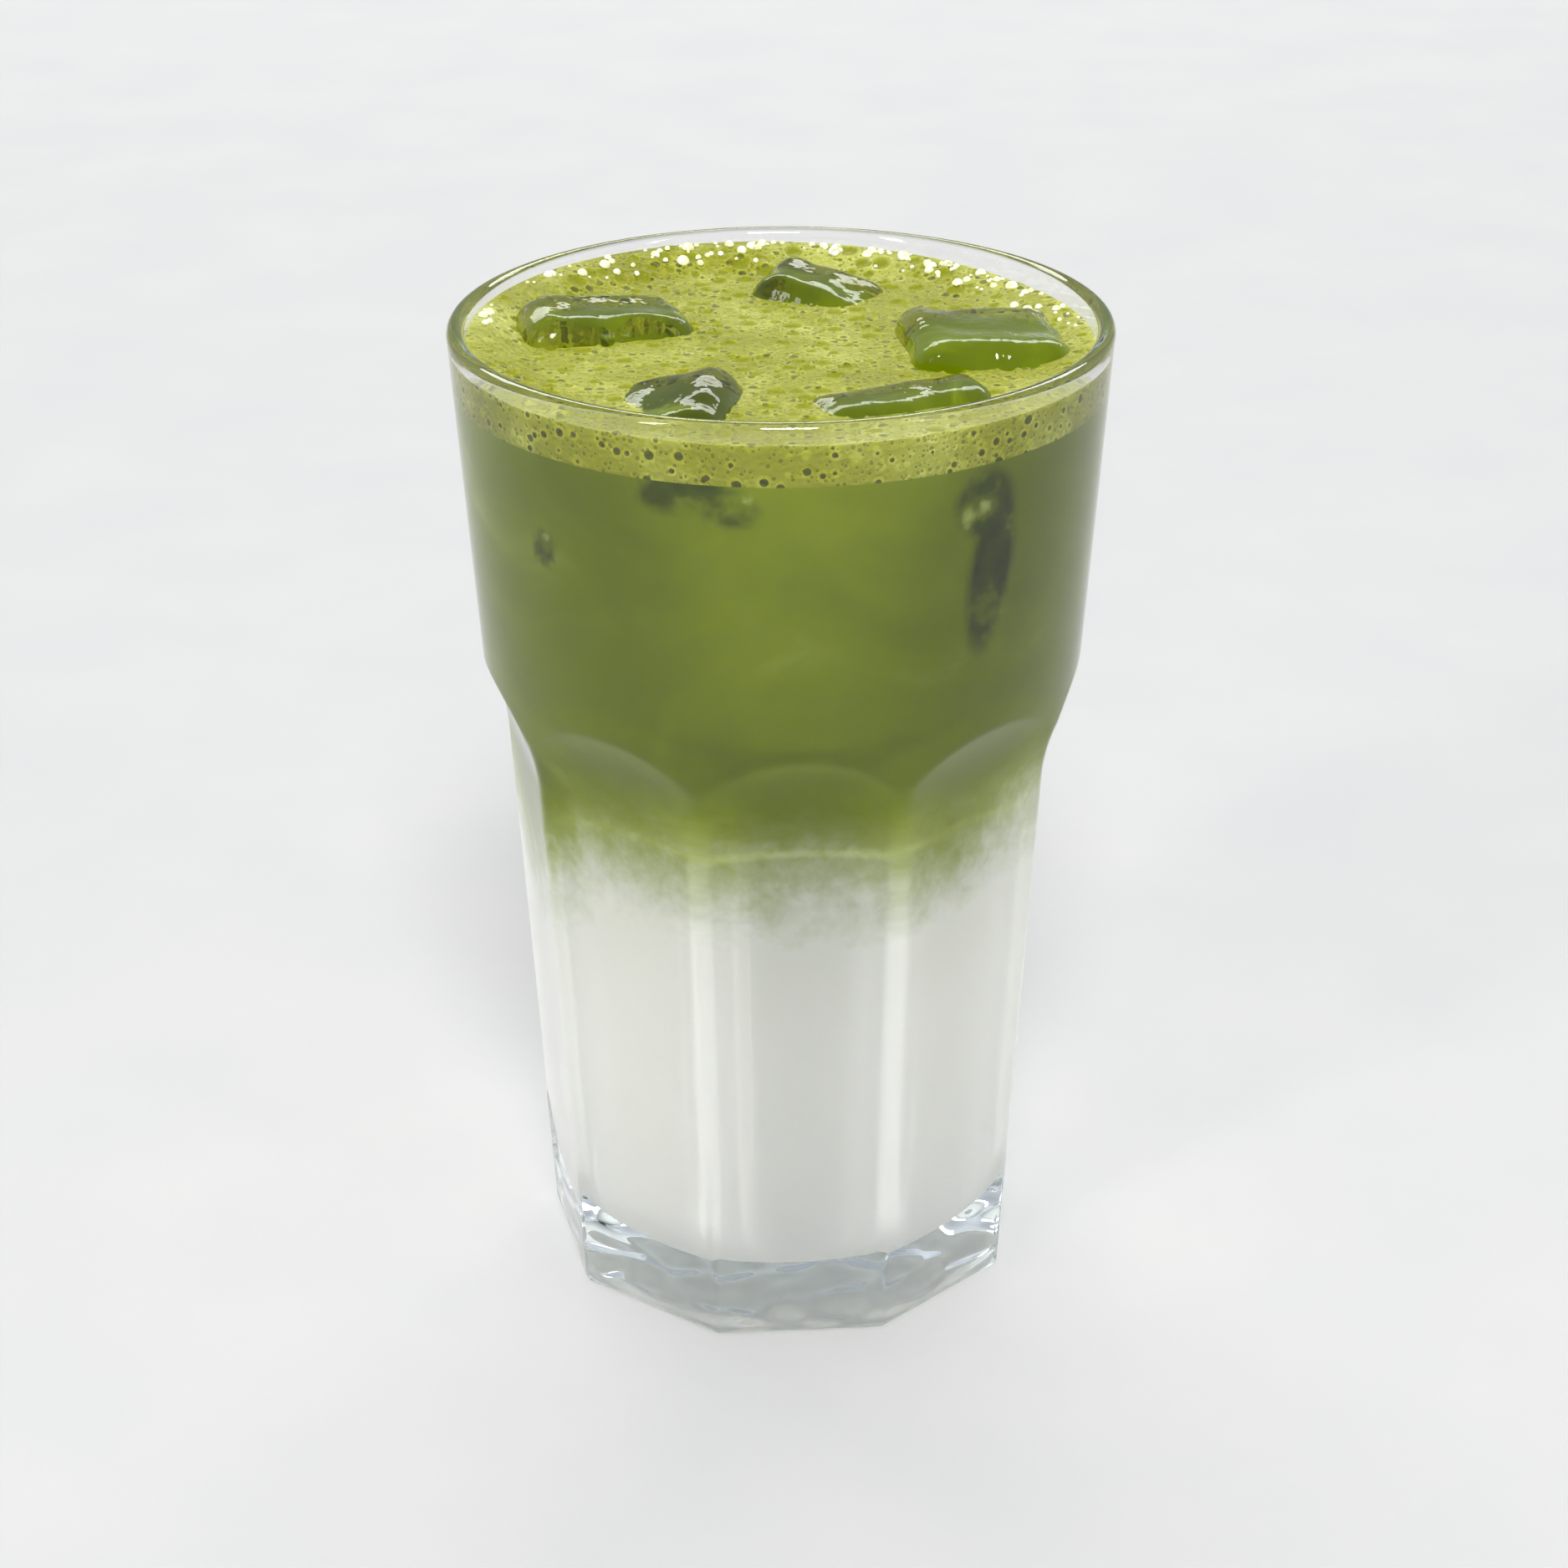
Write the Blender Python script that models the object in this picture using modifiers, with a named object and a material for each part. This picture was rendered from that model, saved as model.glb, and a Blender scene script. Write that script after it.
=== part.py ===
# Iced matcha latte in a tall nine-sided tumbler: milk below, matcha above, foam and ice on top.
# Run it with: blender --background --python part.py
# Units are metres, +Z is up, and the origin is the centre of the glass where it stands.

import math

import bmesh
import bpy
import numpy as np
from mathutils import Euler, Matrix, Vector, noise

MM = 0.001
GAP = 0.3 * MM                  # air left between solids that touch

# Glass
HEIGHT = 141.2 * MM
RIM_RADIUS = 45.0 * MM          # widest ring of the lip
LIP_WALL = 2.4 * MM             # wall at the lip, rounded over the whole width
CONE_SLOPE = 0.0685             # the round wall widens by this much per unit of height
FACETS = 9
FACET_STEP = 2 * math.pi / FACETS
FIRST_RIB = math.radians(-16.1)  # azimuth of one rib, from the front (-Y) towards +X
RIB_RADIUS_FOOT = 34.8 * MM     # ribs' radius at the table
RIB_SLOPE = 0.0601
FOOT_ROUND = 2.0 * MM           # rounding of each facet's lower edge
FLARE_START = 80.0 * MM         # height where a facet starts to curve outwards
FLARE_RADIUS = 26.0 * MM        # radius of that curve, which makes the arches
UPPER_WALL = 2.7 * MM           # wall just above the shoulder
FACET_WALL = 4.2 * MM           # wall at the middle of a facet
SHOULDER_LOW = 80.0 * MM        # the cavity widens between these two heights
SHOULDER_HIGH = 97.0 * MM
FLARE_END = 132.0               # direction in degrees, seen from the curve's centre, where it is cut off
FACET_REACH = 24.0 * MM         # half the width that a facet is cut to
FLOOR = 8.0 * MM                # top of the solid base
FLOOR_CORNER = 11.0 * MM        # radius between the cavity's floor and its wall
RECESS_RADIUS = 27.0 * MM       # shallow dome under the base
RECESS_DEPTH = 1.5 * MM
GLASS_SEGMENTS = 72
SHOULDER_RINGS = 8              # rings of points along the shoulder
UPPER_RINGS = 4                 # and along the wall above it
FLARE_STEPS = 8
LIP_STEPS = 8
CORNER_STEPS = 4

# Drink
MILK_TOP = 70.0 * MM            # mean height where the milk turns to matcha
MATCHA_TOP = 132.4 * MM         # underside of the foam
FOAM_TOP = 136.5 * MM           # foam in the middle of the glass
FOAM_AT_WALL = 1.5 * MM         # the foam climbs the wall by this much
FOAM_AT_BACK_LEFT = 1.7 * MM    # and by this much more at the back left
FOAM_BACK_LEFT = math.radians(218.0)
FOAM_CLIMB_START = 33.0 * MM    # radius where the foam starts to climb
FOAM_SWELL = 0.15 * MM          # height of the foam's slow waves
DRINK_SEGMENTS = 48

# Ice that breaks the foam: centre and size (mm), turns about X, Y and Z (degrees), how much the top is
# wider than the middle, and the place in the noise that its bumps are read from
ICE = {
    "ice_1": ((-25.0, 9.8, 129.9), (25.0, 15.0, 20.0), (3.0, 6.0, 16.0), -0.08, 1.3),
    "ice_2": ((4.6, 27.2, 129.4), (20.0, 15.0, 19.0), (4.0, 14.0, -26.0), -0.12, 7.7),
    "ice_3": ((27.4, 1.2, 130.6), (22.0, 21.0, 18.0), (0.0, 3.0, 8.0), 0.03, 4.1),
    "ice_4": ((-12.0, -22.6, 128.4), (19.0, 22.0, 20.0), (8.0, -18.0, -10.0), -0.22, 9.2),
    "ice_5": ((16.0, -21.4, 131.1), (25.0, 12.0, 13.5), (0.0, -2.0, 22.0), 0.0, 2.6),
}
ICE_CORNER = 4.0 * MM           # melted, rounded edges
ICE_BUMP = 0.7 * MM             # unevenness of the melted faces
ICE_BUMP_LENGTH = 9.0 * MM
ICE_CUTS = 4                    # cuts across each side of the cube
ICE_SPREAD = 0.6                # power below 1 that moves the points towards the edges

COLOURS = {                     # linear red, green, blue; roughness
    "glass": ((0.80, 0.86, 0.86), 0.03),
    "milk": ((0.72, 0.73, 0.70), 0.35),
    "matcha": ((0.20, 0.24, 0.015), 0.35),
    "foam": ((0.50, 0.52, 0.12), 0.60),
    "ice": ((0.62, 0.70, 0.55), 0.08),
}


def clear_scene():
    """Remove whatever the start-up file holds."""
    for obj in list(bpy.data.objects):
        bpy.data.objects.remove(obj, do_unlink=True)


def make_collection(name):
    """Make a collection and link it to the scene."""
    collection = bpy.data.collections.new(name)
    bpy.context.scene.collection.children.link(collection)
    return collection


def make_material(name, see_through=0.0):
    """Make a Principled material from the table of colours."""
    colour, roughness = COLOURS[name]
    material = bpy.data.materials.new(name)
    material.use_nodes = True
    shader = material.node_tree.nodes["Principled BSDF"]
    shader.inputs["Base Color"].default_value = (*colour, 1.0)
    shader.inputs["Roughness"].default_value = roughness
    shader.inputs["Metallic"].default_value = 0.0
    shader.inputs["Transmission Weight"].default_value = see_through
    return material


def smoothstep(value, low, high):
    """Rise smoothly from 0 at low to 1 at high."""
    t = min(max((value - low) / (high - low), 0.0), 1.0)
    return t * t * (3.0 - 2.0 * t)


def cone_radius(z):
    """Outer radius of the round wall, carried on down to the table."""
    return RIM_RADIUS - CONE_SLOPE * (HEIGHT - LIP_WALL / 2 - z)


def apothem(z):
    """Distance from the axis to the middle of a facet, below its flare."""
    return (RIB_RADIUS_FOOT + RIB_SLOPE * z) * math.cos(FACET_STEP / 2)


def cavity_radius(z):
    """Inner radius: it follows the facets below the shoulder and the round wall above it."""
    share = smoothstep(z, SHOULDER_LOW, SHOULDER_HIGH)
    lip_share = smoothstep(z, SHOULDER_HIGH, HEIGHT)
    upper = cone_radius(z) - UPPER_WALL + (UPPER_WALL - LIP_WALL) * lip_share
    return (apothem(z) - FACET_WALL) * (1.0 - share) + upper * share


def arc(centre, radius, start, end, steps):
    """Points on an arc from start to end, in degrees, both ends included."""
    angles = [math.radians(start + (end - start) * i / steps) for i in range(steps + 1)]
    return [(centre[0] + radius * math.cos(a), centre[1] + radius * math.sin(a)) for a in angles]


def cavity_corner(gap):
    """The rounded corner between the cavity's floor and wall, from the floor outwards."""
    radius = FLOOR_CORNER - gap
    centre = (cavity_radius(FLOOR + FLOOR_CORNER) - FLOOR_CORNER, FLOOR + FLOOR_CORNER)
    return arc(centre, radius, -90.0, 0.0, CORNER_STEPS)


def cavity_heights(low, high):
    """Heights between low and high where the cavity's wall has a ring of points."""
    shoulder_step = (SHOULDER_HIGH - SHOULDER_LOW) / SHOULDER_RINGS
    shoulder = [SHOULDER_LOW + shoulder_step * i for i in range(SHOULDER_RINGS + 1)]
    upper_step = (HEIGHT - SHOULDER_HIGH) / UPPER_RINGS
    upper = [SHOULDER_HIGH + upper_step * i for i in range(1, UPPER_RINGS)]
    return [z for z in shoulder + upper if low < z < high]


def turned(name, profile, segments, collection):
    """Turn a profile (radius, height) about Z with a Screw modifier and make the result a mesh."""
    mesh = bpy.data.meshes.new(name)
    mesh.from_pydata([(r, 0.0, z) for r, z in profile], [(i, i + 1) for i in range(len(profile) - 1)], [])
    obj = bpy.data.objects.new(name, mesh)
    collection.objects.link(obj)
    screw = obj.modifiers.new("turn", "SCREW")
    screw.axis = "Z"
    screw.steps = segments
    screw.render_steps = segments
    screw.use_merge_vertices = True
    screw.merge_threshold = 0.00001
    evaluated = obj.evaluated_get(bpy.context.evaluated_depsgraph_get())
    turned_mesh = bpy.data.meshes.new_from_object(evaluated)
    obj.modifiers.clear()
    obj.data = turned_mesh
    turned_mesh.name = name
    bpy.data.meshes.remove(mesh)
    return obj


def finish(obj, material):
    """Give an object its material and smooth shading with sharp edges kept."""
    obj.data.materials.clear()
    obj.data.materials.append(material)
    obj.data.shade_smooth()
    obj.data.set_sharp_from_angle(angle=math.radians(35.0))


def cut(obj, cutter, label, solver="EXACT"):
    """Cut one object out of another with a Boolean."""
    boolean = obj.modifiers.new(label, "BOOLEAN")
    boolean.operation = "DIFFERENCE"
    boolean.solver = solver
    boolean.object = cutter


def as_cutter(obj):
    """Mark an object as a tool that isn't part of the model."""
    obj.hide_render = True
    obj.display_type = "WIRE"


def facet_outline():
    """Side view of one facet cutter as (distance from the axis, height): rounded foot, flat, flare."""
    below = -3.0 * MM
    beyond = 60.0 * MM
    slope = math.atan(RIB_SLOPE * math.cos(FACET_STEP / 2))
    foot_centre = (apothem(FOOT_ROUND) - FOOT_ROUND, FOOT_ROUND)
    outline = [(foot_centre[0] - FOOT_ROUND, below)]
    outline += arc(foot_centre, FOOT_ROUND, -90.0, 0.0, 3)
    flare_foot = (apothem(FLARE_START), FLARE_START)
    centre_distance = flare_foot[0] + FLARE_RADIUS * math.cos(slope)
    centre_height = flare_foot[1] - FLARE_RADIUS * math.sin(slope)
    flare_start = 180.0 - math.degrees(slope)
    outline += arc((centre_distance, centre_height), FLARE_RADIUS, flare_start, FLARE_END, FLARE_STEPS)
    top = outline[-1][1]
    outline += [(beyond, top + (beyond - outline[-1][0])), (beyond, below)]
    return outline


def facet_cutter(index, outline, collection):
    """Extrude the facet's side view across the glass and turn it to face between two ribs."""
    curve = bpy.data.curves.new(f"facet_outline_{index}", "CURVE")
    curve.dimensions = "2D"
    curve.fill_mode = "BOTH"
    curve.extrude = FACET_REACH
    spline = curve.splines.new("POLY")
    spline.points.add(len(outline) - 1)
    for point, (distance, height) in zip(spline.points, outline):
        point.co = (distance, height, 0.0, 1.0)
    spline.use_cyclic_u = True
    drawn = bpy.data.objects.new(f"facet_outline_{index}", curve)
    collection.objects.link(drawn)
    azimuth = FIRST_RIB + (index + 0.5) * FACET_STEP
    outward = Vector((math.sin(azimuth), -math.cos(azimuth), 0.0))
    upward = Vector((0.0, 0.0, 1.0))
    sideways = outward.cross(upward)
    drawn.matrix_world = Matrix((outward, upward, sideways)).transposed().to_4x4()
    mesh = bpy.data.meshes.new_from_object(drawn.evaluated_get(bpy.context.evaluated_depsgraph_get()))
    solid = bmesh.new()
    solid.from_mesh(mesh)
    bmesh.ops.remove_doubles(solid, verts=solid.verts, dist=0.00001)
    bmesh.ops.recalc_face_normals(solid, faces=solid.faces)
    solid.to_mesh(mesh)
    solid.free()
    cutter = bpy.data.objects.new(f"facet_cutter_{index}", mesh)
    cutter.matrix_world = drawn.matrix_world.copy()
    bpy.data.objects.remove(drawn, do_unlink=True)
    collection.objects.link(cutter)
    as_cutter(cutter)
    return cutter


def make_glass(parts, cutters, material):
    """Turned tumbler with a solid base; nine cutters give the facets, ribs and arches."""
    floor = [(0.0, FLOOR), (cavity_corner(0.0)[0][0] * 0.5, FLOOR)] + cavity_corner(0.0)
    lip_centre = (RIM_RADIUS - LIP_WALL / 2, HEIGHT - LIP_WALL / 2)
    wall = [(cavity_radius(z), z) for z in cavity_heights(FLOOR, lip_centre[1])]
    lip = arc(lip_centre, LIP_WALL / 2, 180.0, 0.0, LIP_STEPS)
    foot = [(cone_radius(0.0), 0.0), (RECESS_RADIUS, 0.0)]
    recess = [(RECESS_RADIUS * share, RECESS_DEPTH * (1.0 - share * share)) for share in (0.75, 0.5, 0.25)]
    profile = floor + wall + lip + foot + recess + [(0.0, RECESS_DEPTH)]
    glass = turned("glass", profile, GLASS_SEGMENTS, parts)
    outline = facet_outline()
    for index in range(FACETS):
        cut(glass, facet_cutter(index, outline, cutters), f"facet {index}")
    finish(glass, material)
    return glass


def milk_wave(x, y):
    """Height of the milk's surface against its mean: lowest at the front, higher at the sides."""
    radius = math.hypot(x, y)
    azimuth = math.atan2(x, -y)
    side = 3.2 * math.sin(azimuth) ** 2 - 2.4 * math.cos(azimuth)
    ripple = 1.1 * math.sin(5 * azimuth + 0.6) + 0.6 * math.sin(11 * azimuth)
    return (side + ripple) * MM * smoothstep(radius, 6.0 * MM, 30.0 * MM)


def foam_wave(x, y):
    """Height of the foam against its middle: it clings to the wall, most at the back left."""
    radius = math.hypot(x, y)
    azimuth = math.atan2(x, -y)
    back_left = max(math.cos(azimuth - FOAM_BACK_LEFT), 0.0)
    climb = (FOAM_AT_WALL + FOAM_AT_BACK_LEFT * back_left) * smoothstep(radius, FOAM_CLIMB_START, 42.0 * MM)
    slow = noise.noise(Vector((x, y, 0.0)) / (11.0 * MM))
    return climb + FOAM_SWELL * slow * (1.0 - smoothstep(radius, 36.0 * MM, 40.0 * MM))


def level_rings(radius, height, inner_shares):
    """Rings of a level face from the axis out to a radius."""
    return [(radius * share, height) for share in inner_shares]


def shape_face(obj, height, wave):
    """Lift the points that lie on one level face by a function of their place."""
    for vertex in obj.data.vertices:
        if abs(vertex.co.z - height) < 0.01 * MM:
            vertex.co.z += wave(vertex.co.x, vertex.co.y)


def make_drink(parts, materials):
    """The three layers, each a turned solid that fills the cavity less a small gap."""
    shares = (0.0, 0.2, 0.4, 0.6, 0.8, 0.93, 1.0)
    few = (0.0, 0.5, 1.0)

    def side(top, bottom):
        heights = [top] + cavity_heights(bottom, top)[::-1] + [bottom]
        return [(cavity_radius(z) - GAP, z) for z in heights]

    milk_side = [(cavity_radius(MILK_TOP) - GAP, MILK_TOP)] + cavity_corner(GAP)[::-1]
    milk_profile = level_rings(milk_side[0][0], MILK_TOP, shares)[:-1] + milk_side + [(0.0, FLOOR + GAP)]
    milk = turned("milk", milk_profile, DRINK_SEGMENTS, parts)
    shape_face(milk, MILK_TOP, milk_wave)

    matcha_foot = MILK_TOP + GAP
    matcha_side = side(MATCHA_TOP, matcha_foot)
    matcha_profile = level_rings(matcha_side[0][0], MATCHA_TOP, few)[:-1] + matcha_side
    matcha_profile += level_rings(matcha_side[-1][0], matcha_foot, shares)[:-1][::-1]
    matcha = turned("matcha", matcha_profile, DRINK_SEGMENTS, parts)
    shape_face(matcha, matcha_foot, milk_wave)

    foam_foot = MATCHA_TOP + GAP
    foam_side = side(FOAM_TOP, foam_foot)
    foam_profile = level_rings(foam_side[0][0], FOAM_TOP, shares)[:-1] + foam_side
    foam_profile += level_rings(foam_side[-1][0], foam_foot, few)[:-1][::-1]
    foam = turned("foam", foam_profile, DRINK_SEGMENTS, parts)
    shape_face(foam, FOAM_TOP, foam_wave)

    for layer in (milk, matcha, foam):
        finish(layer, materials[layer.name])
    return matcha, foam


def ice_block(name, grow, collection):
    """A cube with melted edges: rounded, tapered, bumpy, then tipped and put in its place.

    Each point of a subdivided cube is drawn towards a smaller inner box and pushed out from it by
    the corner radius. grow widens the block by the same amount on every side, for its cutter.
    """
    centre, size, turns, taper, seed = ICE[name]
    half = Vector(size) * (MM / 2)
    block = bmesh.new()
    bmesh.ops.create_cube(block, size=2.0)
    bmesh.ops.subdivide_edges(block, edges=block.edges, cuts=ICE_CUTS, use_grid_fill=True)
    turn = Euler([math.radians(a) for a in turns], "XYZ").to_matrix().to_4x4()
    place = Matrix.Translation(Vector(centre) * MM) @ turn
    for vertex in block.verts:
        spread = Vector([math.copysign(abs(c) ** ICE_SPREAD, c) * h for c, h in zip(vertex.co, half)])
        core = Vector([min(max(c, ICE_CORNER - h), h - ICE_CORNER) for c, h in zip(spread, half)])
        point = core + (spread - core).normalized() * ICE_CORNER
        bump = noise.noise(point / ICE_BUMP_LENGTH + Vector((seed, seed, seed)))
        point *= 1.0 + bump * ICE_BUMP / half.length
        narrow = 1.0 + taper * point.z / half.z
        point = Vector((point.x * narrow, point.y * narrow, point.z))
        wide = [(h + grow) / h for h in half]
        vertex.co = place @ Vector([c * w for c, w in zip(point, wide)])
    mesh = bpy.data.meshes.new(name)
    block.to_mesh(mesh)
    block.free()
    obj = bpy.data.objects.new(name if grow == 0.0 else f"{name}_cutter", mesh)
    collection.objects.link(obj)
    return obj


def make_ice(parts, cutters, material, drink):
    """The five blocks, and the hollows they leave in the matcha and the foam.

    The exact solver empties the matcha after several cuts, so these use the manifold one.
    """
    for name in ICE:
        finish(ice_block(name, 0.0, parts), material)
        cutter = ice_block(name, GAP, cutters)
        as_cutter(cutter)
        for layer in drink:
            cut(layer, cutter, name, "MANIFOLD")


def main():
    clear_scene()
    parts = make_collection("iced_matcha_latte")
    cutters = make_collection("cutters")
    materials = {name: make_material(name) for name in ("milk", "matcha", "foam")}
    make_glass(parts, cutters, make_material("glass", 1.0))
    drink = make_drink(parts, materials)
    make_ice(parts, cutters, make_material("ice", 1.0), drink)
    for obj in parts.objects:
        print(obj.name, "sides (mm):", np.round(np.array(obj.dimensions) / MM, 1))


main()
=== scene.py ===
# %% [markdown]
# # An iced matcha latte in a nine-sided tumbler
#
# The drink is three layers in a pressed glass: cold milk at the bottom, bright green matcha above it, and a
# bubbly foam on top with melting ice in it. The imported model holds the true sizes, so it is loaded first and
# every surface below is worked out to lie on it. Lengths are in millimetres until a mesh is made.

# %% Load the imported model
import math

import bpy
import numpy as np
from mathutils import Euler, Matrix, Vector, noise


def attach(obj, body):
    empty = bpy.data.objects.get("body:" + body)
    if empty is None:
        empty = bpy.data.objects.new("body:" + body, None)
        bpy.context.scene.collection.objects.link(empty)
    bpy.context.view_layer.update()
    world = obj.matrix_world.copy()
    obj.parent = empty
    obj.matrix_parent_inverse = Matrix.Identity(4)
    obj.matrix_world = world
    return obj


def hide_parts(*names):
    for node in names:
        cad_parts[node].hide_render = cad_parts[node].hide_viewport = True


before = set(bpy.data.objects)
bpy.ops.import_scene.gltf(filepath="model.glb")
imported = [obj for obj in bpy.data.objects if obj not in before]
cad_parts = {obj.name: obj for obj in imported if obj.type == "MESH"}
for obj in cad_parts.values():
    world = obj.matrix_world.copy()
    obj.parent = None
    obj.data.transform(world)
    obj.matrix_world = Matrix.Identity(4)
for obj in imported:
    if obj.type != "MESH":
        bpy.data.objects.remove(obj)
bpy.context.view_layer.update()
MM = 0.001
print("nodes:", sorted(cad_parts))

# %% [markdown]
# ## The glass in numbers
#
# The wall is a cone that nine flat facets cut. A facet stands upright to the shoulder and then curves out
# until it meets the cone, and where it does so the eye sees an arch. The ribs are the lines where two facets
# meet. A pressed glass has no sharp edge, so the facets are joined by a smooth maximum and the cone by a
# smooth minimum, which round the ribs and the arches.

# %% Named sizes of the glass and the layers (mm)
HEIGHT = 141.2
RIM_RADIUS = 45.0
LIP_WALL = 2.4
CONE_SLOPE = 0.0685
FACETS = 9
FACET_STEP = 2 * math.pi / FACETS
FIRST_RIB = math.radians(-16.1)
RIB_RADIUS_FOOT = 34.8
RIB_SLOPE = 0.0601
RIB_SHARPNESS = 110.0           # power of the smooth maximum: higher is sharper
ARCH_SOFTNESS = 0.09            # width of the smooth minimum at the arches
FOOT_ROUND = 1.4
FOOT_SHARPNESS = 4.0            # how many times sharper the ribs are at the foot
FOOT_SHARP_ENDS = (8.0, 30.0)   # heights between which that fades
FLARE_START = 80.0
FLARE_RADIUS = 26.0
UPPER_WALL = 2.7
FACET_WALL = 4.2
SHOULDER_LOW = 80.0
SHOULDER_HIGH = 97.0
FLOOR = 8.0
FLOOR_CORNER = 11.0
RECESS_RADIUS = 27.0
RECESS_DEPTH = 1.5
FOOT_RING = 30.0                # the flat ring that the glass stands on ends inside the facets

MILK_TOP = 70.0
MATCHA_TOP = 132.4
FOAM_TOP = 136.5
FOAM_AT_WALL = 1.5
FOAM_AT_BACK_LEFT = 1.7
FOAM_BACK_LEFT = math.radians(218.0)
FOAM_CLIMB_START = 33.0
INTO_WALL = 0.08                # how far the drink reaches into the glass, so that no air gap shows


# %% Radius functions
def smoothstep(value, low, high):
    """0 below low, 1 above high, and 3t^2 - 2t^3 between."""
    t = np.clip((value - low) / (high - low), 0.0, 1.0)
    return t * t * (3.0 - 2.0 * t)


def cone_radius(z):
    """Outer radius of the round wall: a straight line that ends at the lip's widest ring."""
    return RIM_RADIUS - CONE_SLOPE * (HEIGHT - LIP_WALL / 2 - z)


def apothem(z):
    """Distance from the axis to the middle of a facet: the ribs' radius times cos 20 degrees."""
    return (RIB_RADIUS_FOOT + RIB_SLOPE * z) * math.cos(FACET_STEP / 2)


def cavity_radius(z):
    """Inner radius: the apothem less a wall below the shoulder, the cone less a wall above it."""
    share = smoothstep(z, SHOULDER_LOW, SHOULDER_HIGH)
    lip_share = smoothstep(z, SHOULDER_HIGH, HEIGHT)
    upper = cone_radius(z) - UPPER_WALL + (UPPER_WALL - LIP_WALL) * lip_share
    return (apothem(z) - FACET_WALL) * (1.0 - share) + upper * share


def facet_cosine(theta, z):
    """Smooth maximum of the cosines of the angles to the nine facets, (sum of cos^p)^(1/p).

    The power p is higher, so the rib is sharper, near the foot.
    """
    centres = FIRST_RIB + (np.arange(FACETS) + 0.5) * FACET_STEP
    cosines = np.clip(np.cos(np.asarray(theta)[..., None] - centres), 0.0, 1.0)
    power = RIB_SHARPNESS * (1.0 + (FOOT_SHARPNESS - 1.0) * (1.0 - smoothstep(z, *FOOT_SHARP_ENDS)))
    return (cosines ** np.asarray(power)[..., None]).sum(axis=-1) ** (1.0 / power)


def outer_radius(theta, z):
    """Smooth minimum of cone a and flared facets b, -s ln(exp(-a/s) + exp(-b/s)), less the foot's round."""
    flare = np.maximum(z - FLARE_START, 0.0) ** 2 / (2.0 * FLARE_RADIUS)
    facets = (apothem(z) + flare) / facet_cosine(theta, z)
    cone = cone_radius(z)
    nearest = np.minimum(cone, facets)
    blend = np.exp((nearest - cone) / ARCH_SOFTNESS) + np.exp((nearest - facets) / ARCH_SOFTNESS)
    low = np.clip(FOOT_ROUND - z, 0.0, FOOT_ROUND)
    return nearest - ARCH_SOFTNESS * np.log(blend) - (FOOT_ROUND - np.sqrt(FOOT_ROUND**2 - low**2))


print("wall at a facet, at a rib, under the lip (mm):",
      [round(float(outer_radius(a, z) - cavity_radius(z)), 2)
       for a, z in ((FIRST_RIB + FACET_STEP / 2, 50.0), (FIRST_RIB, 50.0), (0.0, 130.0))])


# %% [markdown]
# ## From arrays to meshes
#
# Each surface is a grid of points in numpy. One function turns a grid into a closed mesh: its columns go
# round the axis, and its first and last rows shrink to a single point. Another makes meshes from any lists of
# corners. Nothing loops over points in Python, so a hundred thousand faces take a moment.

# %% Mesh helpers
SHARP_ANGLE = math.radians(40)


def make_piece(name, points, quads, triangles, slot, *nodes):
    """Make a smooth mesh piece from points in mm, ride it on the part and let it stand for its nodes."""
    mesh = bpy.data.meshes.new(name)
    mesh.vertices.add(len(points))
    mesh.vertices.foreach_set("co", (np.asarray(points) * MM).ravel())
    corners = np.concatenate([np.asarray(quads).ravel(), np.asarray(triangles).ravel()]).astype(np.int32)
    sizes = np.concatenate([np.full(len(quads), 4), np.full(len(triangles), 3)])
    mesh.loops.add(len(corners))
    mesh.loops.foreach_set("vertex_index", corners)
    mesh.polygons.add(len(sizes))
    mesh.polygons.foreach_set("loop_start", np.concatenate([[0], np.cumsum(sizes)[:-1]]).astype(np.int32))
    mesh.update(calc_edges=True)
    mesh.validate()
    mesh.shade_smooth()
    mesh.set_sharp_from_angle(angle=SHARP_ANGLE)
    piece = bpy.data.objects.new(name, mesh)
    bpy.context.scene.collection.objects.link(piece)
    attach(piece, "root")
    if nodes:
        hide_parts(*nodes)
    print(name, "has", len(quads) * 2 + len(triangles), "triangles")
    return piece


def turned_faces(rows, columns):
    """Faces of a turned grid: rows of points from the top pole down the outer side to the other pole."""
    row = 1 + np.arange(rows - 1)[:, None] * columns
    here = np.arange(columns)[None, :]
    after = (here + 1) % columns
    below = row + columns
    quads = np.stack([row + here, below + here, below + after, row + after], -1).reshape(-1, 4)
    last = 1 + rows * columns
    final_row = 1 + (rows - 1) * columns
    first = np.stack([np.zeros(columns, int), 1 + here[0], 1 + after[0]], -1)
    final = np.stack([np.full(columns, last), final_row + after[0], final_row + here[0]], -1)
    return quads, np.concatenate([first, final])


def turned_points(theta, radius, height, first_height, last_height):
    """Points (r sin t, -r cos t, z) of a turned grid, with one pole point before and one after."""
    height = np.broadcast_to(height, radius.shape)
    ring = np.stack([radius * np.sin(theta), -radius * np.cos(theta), height], -1).reshape(-1, 3)
    return np.concatenate([[(0.0, 0.0, first_height)], ring, [(0.0, 0.0, last_height)]])


def add_attribute(piece, name, values):
    """Store one number for each point, for the material to read."""
    old = piece.data.attributes.get(name)
    if old:
        piece.data.attributes.remove(old)
    layer = piece.data.attributes.new(name, "FLOAT", "POINT")
    layer.data.foreach_set("value", np.asarray(values, np.float32))


# %% [markdown]
# ## Materials by hand
#
# Colours are written as the sRGB hex values that a colour picker gives, and one function turns them to the
# linear values that the shaders want. One small function adds a node, sets it and links it.

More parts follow.
